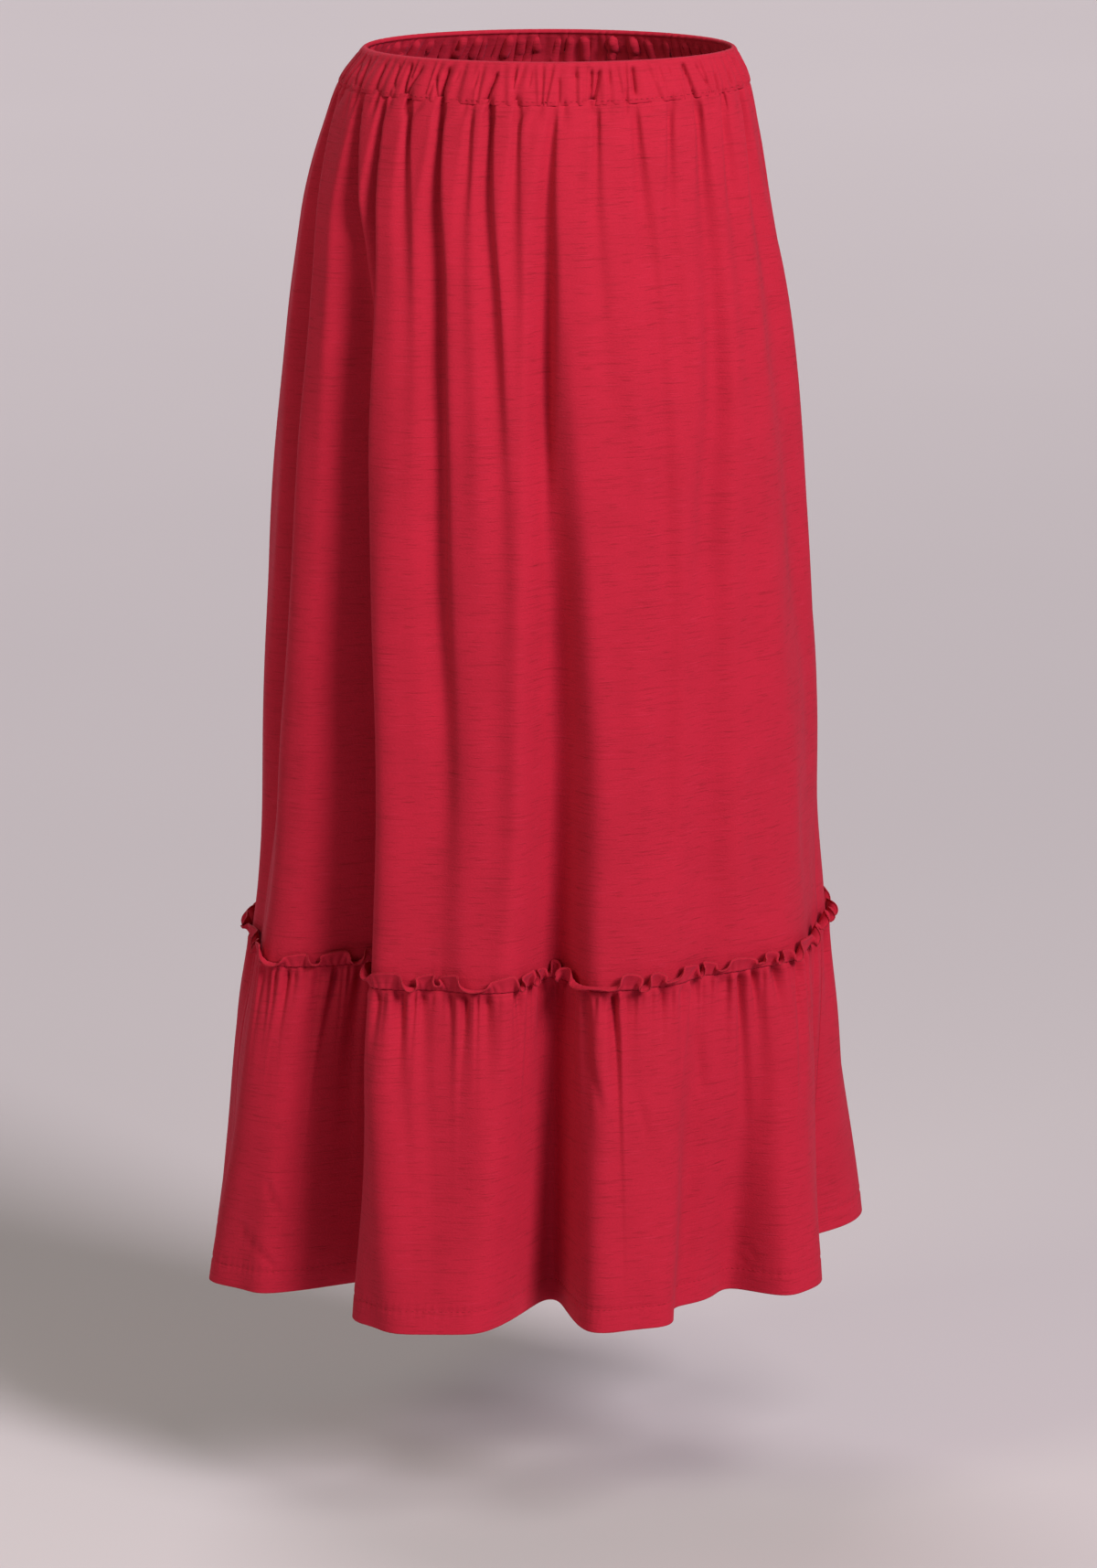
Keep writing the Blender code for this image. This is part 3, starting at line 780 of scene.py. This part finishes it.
# %% [markdown]
# The frilled heading
#
# The tier is gathered a finger's breadth below its raw edge, and the edge is overlocked while it is
# stretched, which makes it curl like a lettuce leaf. It stands up against the panel in arches and flops
# forward between them. Each column of this strip swings about the seam by its own angle, and the swing
# grows towards the free edge, so the strip curls as it rises. Inside a tight fold it has less room.

# %% Frill
FRILL_WAVES = 54
FRILL_DENSITY = 2.2
FRILL_ROWS = 10
ROOT_SWING = radians(5)
UP_TIP = radians(26)
FLOP_TIP = radians(140)
SIDE_SWING = 0.0018
SIDE_CURL = 0.0020
SIDE_LEAN = 0.0024
ROOT_STAND_OFF = 0.0003
EDGE_STAND_OFF = 0.0007
ROOT_CRIMP = 0.0006
CRIMP_PITCH = 0.0047
NARROW_FLOP = 2.4
WIDE_FLOP = 0.8
SIZE_VARIETY = 0.30
HEIGHT_VARIETY = 0.55
FLOP_VARIETY = 0.35
LEAST_FLOP, MOST_FLOP = 0.5, 1.2
SLANT_STRENGTH, SLANT_SHIFT = 1.6, 0.5
CURL_STEPS = 12
ARCH_DIP = 0.30
FRILL_JERSEY = 0.0009
SLOW_WAVES = ((0.30, 7, 1.0), (0.22, 13, 2.3), (0.16, 23, 0.4))


def refine(row):
    """Points along a panel's row at the frill's closer spacing."""
    place = np.arange(0, len(row) - 1 - 0.01, 1 / FRILL_DENSITY)
    return np.column_stack([np.interp(place, np.arange(len(row)), row[:, k]) for k in range(3)])


def frill_phase(run):
    """Phase of the frill's wave along the seam, with uneven wave lengths."""
    slow = sum(size * np.sin(2 * pi * turns * run + start) for size, turns, start in SLOW_WAVES)
    return 2 * pi * (FRILL_WAVES * run + slow)


def frill_rows():
    """Rows of the frill, from its free edge down to its root on the seam."""
    roots, heads = [], []
    for half in HALVES:
        rows = panels[half]
        above = next(k for k, drop in enumerate(PANEL_DROPS) if drop > SEAM_DROP - 1.25 * FRILL_HEIGHT)
        roots.append(refine(rows[-1]))
        heads.append(refine(rows[above]))
    root, head = np.vstack(roots), np.vstack(heads)
    ring = wrapped(root)
    along = unit(np.gradient(ring, axis=0)[1:-1])
    up = unit(head - root)
    out = unit(np.cross(along, up))
    turn = np.linalg.norm(np.roll(out, -5, axis=0) - np.roll(out, 5, axis=0), axis=1)
    room = np.clip(1.15 - 1.0 * turn, 0.25, 1.0)
    room = soften(room[:, None], 4.0)[:, 0]
    run = run_along(ring[:-1])[:-1]
    phase = frill_phase(run / run_along(ring)[-2])
    waves = np.arange(-2, FRILL_WAVES + 4)
    wave = waves % FRILL_WAVES
    at = phase / (2 * pi)
    size = 1 + SIZE_VARIETY * np.interp(at, waves, uneven(wave, 5))
    flop_size = 1 + FLOP_VARIETY * np.interp(at, waves + 0.5, uneven(wave, 6))
    wide = ease(0.5 + 2.5 * (np.interp(at, waves + 0.5, uneven(wave, 7)) - 0.45))
    slant = np.interp(at, waves, uneven((waves // 3) % FRILL_WAVES, 4))
    lean = SIDE_LEAN * np.clip(SLANT_STRENGTH * slant + SLANT_SHIFT, -1.0, 1.0)
    arch = 0.5 - 0.5 * np.cos(phase)
    flop = arch ** (NARROW_FLOP + (WIDE_FLOP - NARROW_FLOP) * wide)
    tip = UP_TIP * size + (FLOP_TIP - UP_TIP) * flop * np.clip(flop_size, LEAST_FLOP, MOST_FLOP)
    tip = tip * (0.45 + 0.55 * room)
    crimp = ROOT_CRIMP * np.sin(2 * pi * run / CRIMP_PITCH + 2 * np.sin(run / 0.031))
    height = FRILL_HEIGHT * (1.0 + HEIGHT_VARIETY * (size - 1))
    height *= 1 - 0.16 * np.sin(phase) * np.sign(lean)
    height *= 1 - ARCH_DIP * arch * (1 - 0.6 * wide)
    shift = SIDE_SWING * np.sin(phase) + SIDE_CURL * np.sin(2 * phase) + lean * (0.5 + 0.5 * np.cos(phase))
    rows = []
    for k in range(FRILL_ROWS):
        share = 1 - k / (FRILL_ROWS - 1)
        middles = (np.arange(CURL_STEPS) + 0.5) / CURL_STEPS * share
        swings = [ROOT_SWING + (tip - ROOT_SWING) * middle ** 0.8 for middle in middles]
        rise = sum(np.cos(swing) for swing in swings) / CURL_STEPS * share * height
        reach = sum(np.sin(swing) for swing in swings) / CURL_STEPS * share * height
        side = share ** 1.5 * shift * size * room
        stand_off = ROOT_STAND_OFF + EDGE_STAND_OFF * share + reach * room
        stand_off = stand_off + crimp * (1 - share) ** 0.5 * share ** 0.3
        rows.append(root + up * rise[:, None] + out * stand_off[:, None] + along * side[:, None])
    return rows


frill = frill_rows()
make_cloth("frill_cloth", frill, FRILL_JERSEY, closed=True, side=1.0)

# %% [markdown]
# Edge and stitches
#
# The frill's edge is bound by overlock thread, a fine bead that catches the light. The casing and the hem
# are held by rows of thread. Each stitch is a short spindle with few faces, because there are hundreds
# of them, and a loop sets them along the rows that the cloth already has.

# %% Thread
BEAD_RADIUS = 0.00048
BEAD_SIDES = 6
STITCH_LENGTH = 0.0027
STITCH_PITCH = 0.0040
STITCH_RADIUS = 0.00032
STITCHES_PER_BATCH = 24
CASING_STITCH_RISE = 0.0022
CASING_STITCH_OUT = 0.0001


def bead_along(name, ring):
    """A thin tube round the skirt along a closed row of points."""
    along = unit(np.gradient(wrapped(ring), axis=0)[1:-1])
    side = unit(np.cross(along, [0.0, 0.0, 1.0]))
    top = np.cross(side, along)
    rows = []
    for k in range(BEAD_SIDES):
        angle = 2 * pi * k / BEAD_SIDES
        rows.append(ring + BEAD_RADIUS * (cos(angle) * side + sin(angle) * top))
    tube = bmesh.new()
    count = len(ring) + 1
    for k, vertex in enumerate(grid_of(tube, BEAD_SIDES + 1, count)):
        vertex.co = rows[k // count % BEAD_SIDES][k % count % len(ring)]
    bmesh.ops.remove_doubles(tube, verts=tube.verts, dist=WELD)
    bmesh.ops.recalc_face_normals(tube, faces=tube.faces)
    print(name, len(make_piece(name, tube).data.polygons), "faces")


def stitch_places(row, out_by):
    """Matrices that set a unit ball as a spindle stitch, all along a row of points."""
    out = np.column_stack([outward(row[:, :2]), np.zeros(len(row))])
    run = run_along(row)
    places = []
    for centre in np.arange(STITCH_PITCH / 2, run[-1] - STITCH_PITCH / 2, STITCH_PITCH):
        ends = [np.array([np.interp(centre + reach, run, row[:, k]) for k in range(3)])
                for reach in (-STITCH_LENGTH / 2, STITCH_LENGTH / 2)]
        lift_off = np.array([np.interp(centre, run, out[:, k]) for k in range(3)]) * out_by
        along = Vector(ends[1] - ends[0]).normalized()
        middle = Matrix.Translation(Vector((ends[0] + ends[1]) / 2 + lift_off))
        turned = middle @ along.to_track_quat("Z", "Y").to_matrix().to_4x4()
        places.append(turned @ Matrix.Diagonal((STITCH_RADIUS, STITCH_RADIUS, STITCH_LENGTH / 2, 1.0)))
    return places


def make_stitches(name, rows, out_by):
    """All stitches of one seam as one piece. Small batches are much faster than one growing bmesh."""
    places = [place for row in rows for place in stitch_places(row, out_by)]
    few = bpy.data.meshes.new("few_stitches")
    thread = bmesh.new()
    for first in range(0, len(places), STITCHES_PER_BATCH):
        batch = bmesh.new()
        for place in places[first:first + STITCHES_PER_BATCH]:
            bmesh.ops.create_uvsphere(batch, u_segments=6, v_segments=4, radius=1.0, matrix=place)
        batch.to_mesh(few)
        batch.free()
        thread.from_mesh(few)
    bpy.data.meshes.remove(few)
    print(name, len(places), "stitches,", len(make_piece(name, thread).data.polygons), "faces")


def row_at(rows, drops, drop):
    """The row of points nearest to a drop."""
    return rows[int(np.argmin(np.abs(np.asarray(drops) - drop)))]


bead_along("frill_overlock", frill[0])
casing_line = row_at(casing, CASING_DROPS, CASING_DROP - CASING_STITCH_RISE)
make_stitches("casing_stitches", [np.vstack([casing_line, casing_line[:1]])], CASING_STITCH_OUT)
hem_lines = [row_at(tiers[half], TIER_DROPS, HEM_DROP - STITCH_RISE) for half in HALVES]
make_stitches("hem_stitches", hem_lines, 0.0)

# %% [markdown]
# Shader maths
#
# A material is easier to read as an expression than as a list of nodes. This small class wraps a socket,
# so that adding or multiplying two of them adds the Math node. Any other node comes from one method. A
# value that is the same all over a surface is set on the shader's own socket.

# %% A class for shader expressions
class Wire:
    """A shader socket that can be added and multiplied in Python."""

    def __init__(self, tree, socket):
        self.tree = tree
        self.socket = socket

    def node(self, kind, settings=None, inputs=None, output=0):
        """Add any node: its settings are set first, then the values or links of its sockets."""
        node = self.tree.nodes.new(kind)
        for key, value in (settings or {}).items():
            setattr(node, key, value)
        for key, value in (inputs or {}).items():
            if isinstance(value, Wire):
                self.tree.links.new(value.socket, node.inputs[key])
            else:
                node.inputs[key].default_value = value
        return Wire(self.tree, node.outputs[output])

    def maths(self, operation, *values):
        """A Math node on wires and numbers."""
        return self.node("ShaderNodeMath", {"operation": operation}, dict(enumerate(values)))

    def __add__(self, other):
        return self.maths("ADD", self, other)

    def __mul__(self, other):
        return self.maths("MULTIPLY", self, other)

    __radd__ = __add__
    __rmul__ = __mul__

    def between(self, low, high):
        """0 below low, 1 above high, and soft between them."""
        ends = {"Value": self, "From Min": low, "From Max": high}
        return self.node("ShaderNodeMapRange", {"interpolation_type": "SMOOTHSTEP"}, ends)


def mixed(share, first, second):
    """A colour between two others, by a wire from 0 to 1."""
    ends = {"Factor": share, "A": first, "B": second}
    return share.node("ShaderNodeMix", {"data_type": "RGBA"}, ends, output=2)


def new_material(name, surface):
    """A material, its Principled shader with the surface's values, and a wire to start expressions from."""
    material = bpy.data.materials.new(name)
    material.use_nodes = True
    shader = material.node_tree.nodes["Principled BSDF"]
    for socket, value in surface.items():
        shader.inputs[socket].default_value = value
    return material, shader, Wire(material.node_tree, None)


print("shader expressions are ready")

# %% [markdown]
# Slub jersey
#
# The cloth is single jersey knitted from uneven yarn. Thick places in the yarn show as short dark dashes
# that lie across the cloth, because the yarn of a knit runs sideways. Between them the colour wanders
# softly. The surface is matt with a faint bloom of loose fibres, which the sheen gives. The dashes are
# measured on the UV map in metres, so they are as long on the hem as at the waist. Each kind has a length,
# a height, a place in the noise, and the two noise values that it fades in between.

# %% The jersey material
CRIMSON = (0.455, 0.0095, 0.0340, 1.0)
DEEP_CRIMSON = (0.240, 0.0050, 0.0150, 1.0)
SOFT_CRIMSON = (0.500, 0.0160, 0.0495, 1.0)
BLOOM = (1.0, 0.22, 0.50, 1.0)
JERSEY_SURFACE = {"Roughness": 0.88, "Specular IOR Level": 0.22, "Sheen Weight": 0.06,
                  "Sheen Roughness": 0.42, "Sheen Tint": BLOOM}
THREAD_SURFACE = {"Roughness": 0.75, "Specular IOR Level": 0.25}
BUMP_STRENGTH = 0.35
BUMP_HEIGHT = 0.0004
THREAD_TWISTS = 1400.0
Streaks = namedtuple("Streaks", "length height seed low high")
DASHES = Streaks(0.016, 0.0011, 3.1, 0.60, 0.74)
LONG_DASHES = Streaks(0.045, 0.0018, 8.7, 0.58, 0.76)
PALE_DASHES = Streaks(0.022, 0.0014, 15.3, 0.60, 0.80)
CLOUD = Streaks(0.060, 0.040, 21.9, 0.30, 0.70)
KNIT = Streaks(0.0016, 0.0011, 5.5, 0.30, 0.70)


def streaks(cloth_map, kind):
    """Short dashes across the cloth: noise stretched along the yarn and cut off softly."""
    stretch = {"Vector": cloth_map, "Location": (kind.seed, kind.seed * 0.37, 0.0),
               "Scale": (1 / kind.length, 1 / kind.height, 1.0)}
    scaled = cloth_map.node("ShaderNodeMapping", {"vector_type": "POINT"}, stretch)
    grain = {"Vector": scaled, "Scale": 1.0, "Detail": 2.0, "Roughness": 0.55}
    noise = cloth_map.node("ShaderNodeTexNoise", {"noise_dimensions": "2D"}, grain)
    return noise.between(kind.low, kind.high)


def jersey(name, slub=1.0):
    """Crimson slub jersey, with more or less of the dashes."""
    material, shader, start = new_material(name, JERSEY_SURFACE)
    cloth_map = start.node("ShaderNodeUVMap", {"uv_map": "cloth"})
    kinds = (DASHES, LONG_DASHES, PALE_DASHES, CLOUD, KNIT)
    dashes, long_dashes, pale_dashes, cloud, knit = [streaks(cloth_map, kind) for kind in kinds]
    darker = dashes * (0.38 * slub) + long_dashes * (0.30 * slub) + cloud * 0.10 + knit * 0.12
    base = mixed(darker, CRIMSON, DEEP_CRIMSON)
    colour = mixed(pale_dashes * (0.45 * slub), base, SOFT_CRIMSON)
    relief = dashes * 0.5 + knit * 0.55 + pale_dashes * 0.3
    bump = {"Strength": BUMP_STRENGTH, "Distance": BUMP_HEIGHT, "Height": relief}
    raised = start.node("ShaderNodeBump", {}, bump)
    material.node_tree.links.new(colour.socket, shader.inputs["Base Color"])
    material.node_tree.links.new(raised.socket, shader.inputs["Normal"])
    return material


def thread_material(name):
    """Twisted polyester thread in the cloth's colour, a little glossier than the jersey."""
    material, shader, start = new_material(name, THREAD_SURFACE)
    place = start.node("ShaderNodeTexCoord", output=3)
    twist = start.node("ShaderNodeTexNoise", {}, {"Vector": place, "Scale": THREAD_TWISTS, "Detail": 1.0})
    colour = mixed(twist.between(0.3, 0.7), DEEP_CRIMSON, CRIMSON)
    material.node_tree.links.new(colour.socket, shader.inputs["Base Color"])
    return material


panel_jersey = jersey("panel_jersey_cloth")
casing_jersey = jersey("casing_jersey_cloth", slub=0.8)
tier_jersey = jersey("tier_jersey_cloth")
frill_jersey = jersey("frill_jersey_cloth", slub=0.7)
thread = thread_material("crimson_thread")
print("materials:", [m.name for m in bpy.data.materials])

# %% [markdown]
# Finish and body
#
# Each piece takes its material and rides on the one body that the skirt has. A piece of cloth also hides
# the solid that it replaces. The table also holds a slot name and the cut size of each piece, which nothing
# here uses. The threads are small pieces of their own.

# %% Dress the frame
Finish = namedtuple("Finish", "material slot node cut area")
FINISHES = {
    "casing_cloth": Finish(casing_jersey, "casing_jersey", "waistband", (1.05, 0.032), None),
    "front_panel_cloth": Finish(panel_jersey, "panel_jersey", "front_panel", (0.74, 0.61), 0.42),
    "back_panel_cloth": Finish(panel_jersey, "panel_jersey", "back_panel", (0.74, 0.61), 0.42),
    "tier_front_cloth": Finish(tier_jersey, "tier_jersey", "tier_front", (0.96, 0.248), None),
    "tier_back_cloth": Finish(tier_jersey, "tier_jersey", "tier_back", (0.96, 0.248), None),
    "frill_cloth": Finish(frill_jersey, "frill_jersey", "seam_frill", (1.90, 0.0125), None),
}
for name, finish in FINISHES.items():
    piece = pieces[name]
    piece.data.materials.append(finish.material)
    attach(piece, "root")
    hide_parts(finish.node)
for name, slot in (("frill_overlock", "frill_jersey"), ("casing_stitches", "casing_jersey"),
                   ("hem_stitches", "tier_jersey")):
    pieces[name].data.materials.append(thread)
    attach(pieces[name], "root")
print(len(pieces), "pieces ride on the root body")

# %% [markdown]
# Studio
#
# A pale floor and soft lights make a plain studio. The key is a soft sun from the front right, and a
# weaker and wider sun shines from behind. A softbox on the left fills the folds, one at the right lights
# the upper part, and the air adds a little light all round. The camera stands five metres away, a little
# above the waist, and looks down.

# %% Floor, lights and camera
FLOOR_DROP = 1.03
CAMERA_DISTANCE = 5.0
CAMERA_ABOVE_WAIST = 0.60
CAMERA_TILT_DOWN = 12.706
FOCAL_LENGTH = 165.2
FLOOR_HALF_SIZE = 40.0
# Painted light: the floor runs from a darker near colour to a lighter far one, standing in for how the light
# falls across it.
NEAR_FLOOR_PAINTED_SHADE = (0.59, 0.525, 0.580, 1.0)
FAR_FLOOR_PAINTED_LIGHT = (0.80, 0.718, 0.780, 1.0)
FLOOR_SURFACE = {"Roughness": 0.9, "Specular IOR Level": 0.1}
AIR = (0.88, 0.91, 0.70, 1.0)
AIR_STRENGTH = 0.11


def make_floor():
    """A wide floor with painted light: its colour is painted lighter with distance, with a faint random
    cloud.
    """
    sheet = bmesh.new()
    lowered = Matrix.Translation((0, 0, -FLOOR_DROP))
    bmesh.ops.create_grid(sheet, x_segments=1, y_segments=1, size=FLOOR_HALF_SIZE, matrix=lowered)
    mesh = bpy.data.meshes.new("studio_floor")
    sheet.to_mesh(mesh)
    sheet.free()
    material, shader, start = new_material("floor_paint", FLOOR_SURFACE)
    place = start.node("ShaderNodeTexCoord", output=3)
    cloud = start.node("ShaderNodeTexNoise", {}, {"Vector": place, "Scale": 0.8, "Detail": 2.0})
    depth = start.node("ShaderNodeSeparateXYZ", {}, {"Vector": place}, output=1)
    # Painted light graded with distance, with a faint random cloud mixed in.
    painted_light_and_cloud = depth.between(-0.5, 8.0) * 0.92 + cloud.between(0.2, 0.8) * 0.08
    colour = mixed(painted_light_and_cloud, NEAR_FLOOR_PAINTED_SHADE, FAR_FLOOR_PAINTED_LIGHT)
    material.node_tree.links.new(colour.socket, shader.inputs["Base Color"])
    mesh.materials.append(material)
    floor = place_object("studio_floor", mesh)


def soft_light(name, place, aim, size, strength, colour):
    """A square softbox near the skirt, or without an aim a distant sun whose size is in degrees."""
    data = bpy.data.lights.new(name, "AREA" if aim else "SUN")
    if aim:
        data.size = size
    else:
        data.angle = radians(size)
    data.energy = strength
    data.color = colour
    light = place_object(name, data)
    light.location = place
    towards = Vector(place) - Vector(aim or (0.0, 0.0, 0.0))
    light.rotation_euler = towards.to_track_quat("Z", "Y").to_euler()


make_floor()
soft_light("key", (0.90, -1.0, 0.85), None, 18.0, 2.46, (1.0, 0.97, 0.96))
soft_light("back", (-0.35, 1.0, 1.0), None, 40.0, 1.10, (1.0, 0.97, 0.97))
soft_light("left_box", (-1.80, -1.50, 0.75), (0.0, -0.1, -0.3), 0.9, 16.0, (1.0, 1.10, 0.76))
soft_light("top_box", (0.80, -1.00, 0.85), (0.0, -0.1, -0.15), 0.8, 12.5, (1.0, 1.0, 0.92))
world = bpy.data.worlds.new("studio_air")
world.use_nodes = True
background = world.node_tree.nodes["Background"]
background.inputs["Color"].default_value = AIR
background.inputs["Strength"].default_value = AIR_STRENGTH
bpy.context.scene.world = world
bpy.context.scene.view_settings.view_transform = "Standard"

camera_data = bpy.data.cameras.new("camera")
camera_data.lens = FOCAL_LENGTH
camera = place_object("camera", camera_data)
camera.location = (0.0, -CAMERA_DISTANCE, CAMERA_ABOVE_WAIST)
camera.rotation_euler = (radians(90.0 - CAMERA_TILT_DOWN), 0.0, 0.0)
bpy.context.scene.camera = camera
print("camera at", tuple(camera.location))
